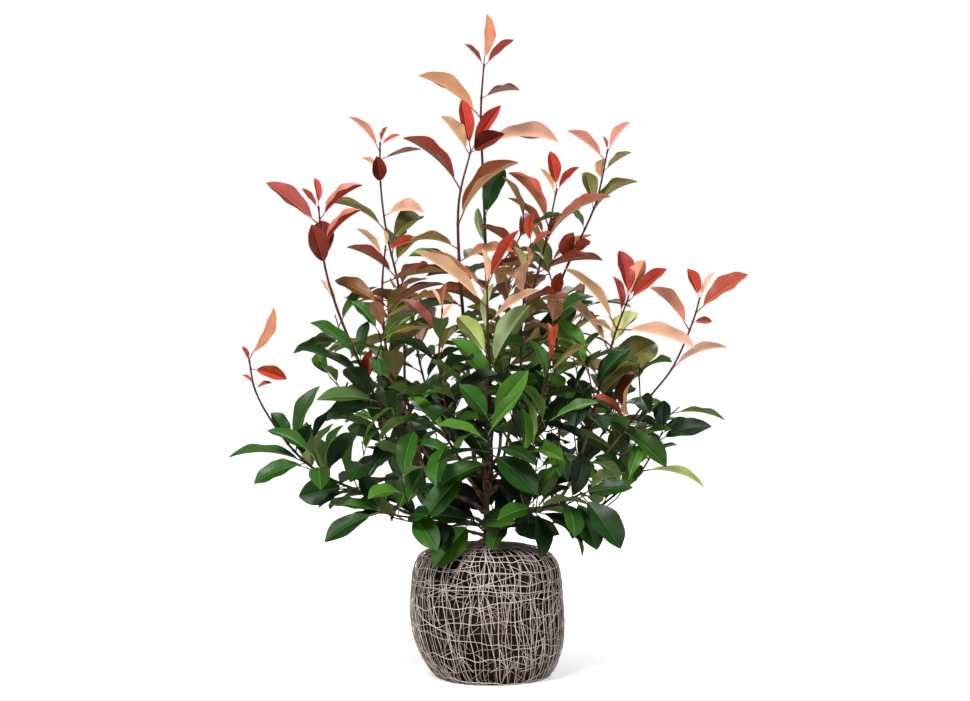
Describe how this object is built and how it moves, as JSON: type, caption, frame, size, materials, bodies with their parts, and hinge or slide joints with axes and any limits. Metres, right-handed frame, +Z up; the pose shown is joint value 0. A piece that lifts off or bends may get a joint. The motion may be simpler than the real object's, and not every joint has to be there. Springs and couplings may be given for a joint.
{
  "type": "potted shrub",
  "caption": "Young evergreen shrub with copper-red new shoots over deep green leaves, standing on its round netted root ball with a flat underside.",
  "frame": {"origin": "the point of the root ball's flat underside plumb below the foot of the trunk", "axes": "+Z up, -Y towards the front as the plant is usually seen, +X to the right of it"},
  "size_m": [0.8447, 0.5977, 1.0848],
  "materials": {
    "netted_soil": "matte",
    "bark": "satin",
    "red_flush_leaf": "satin",
    "green_leaf": "gloss"
  },
  "bodies": {
    "root": {"bough_back_lead": "bark", "bough_back_left": "bark", "bough_back_low_left": "bark", "bough_back_low_right": "bark", "bough_back_right": "bark", "bough_far_left": "bark", "bough_front_lead": "bark", "bough_front_left": "bark", "bough_front_low": "bark", "bough_front_right": "bark", "bough_green_right": "bark", "bough_lead": "bark", "bough_left_lead": "bark", "bough_left_main": "bark", "bough_left_mid": "bark", "bough_left_tall": "bark", "bough_low_left": "bark", "bough_low_right": "bark", "bough_right_back": "bark", "bough_right_far": "bark", "bough_right_inner": "bark", "bough_right_main": "bark", "bough_right_mid": "bark", "foliage_back_lead": "red_flush_leaf", "foliage_back_left": "red_flush_leaf", "foliage_back_low_left": "green_leaf", "foliage_back_low_right": "green_leaf", "foliage_back_right": "red_flush_leaf", "foliage_far_left": "red_flush_leaf", "foliage_front_lead": "red_flush_leaf", "foliage_front_left": "red_flush_leaf", "foliage_front_low": "green_leaf", "foliage_front_right": "red_flush_leaf", "foliage_green_right": "green_leaf", "foliage_lead": "red_flush_leaf", "foliage_left_lead": "red_flush_leaf", "foliage_left_main": "red_flush_leaf", "foliage_left_mid": "red_flush_leaf", "foliage_left_tall": "red_flush_leaf", "foliage_low_left": "green_leaf", "foliage_low_right": "green_leaf", "foliage_right_back": "red_flush_leaf", "foliage_right_far": "red_flush_leaf", "foliage_right_inner": "red_flush_leaf", "foliage_right_main": "red_flush_leaf", "foliage_right_mid": "red_flush_leaf", "foliage_skirt_back": "green_leaf", "foliage_skirt_left": "green_leaf", "foliage_skirt_right": "green_leaf", "root_ball": "netted_soil", "trunk": "bark"}
  },
  "joints": []
}
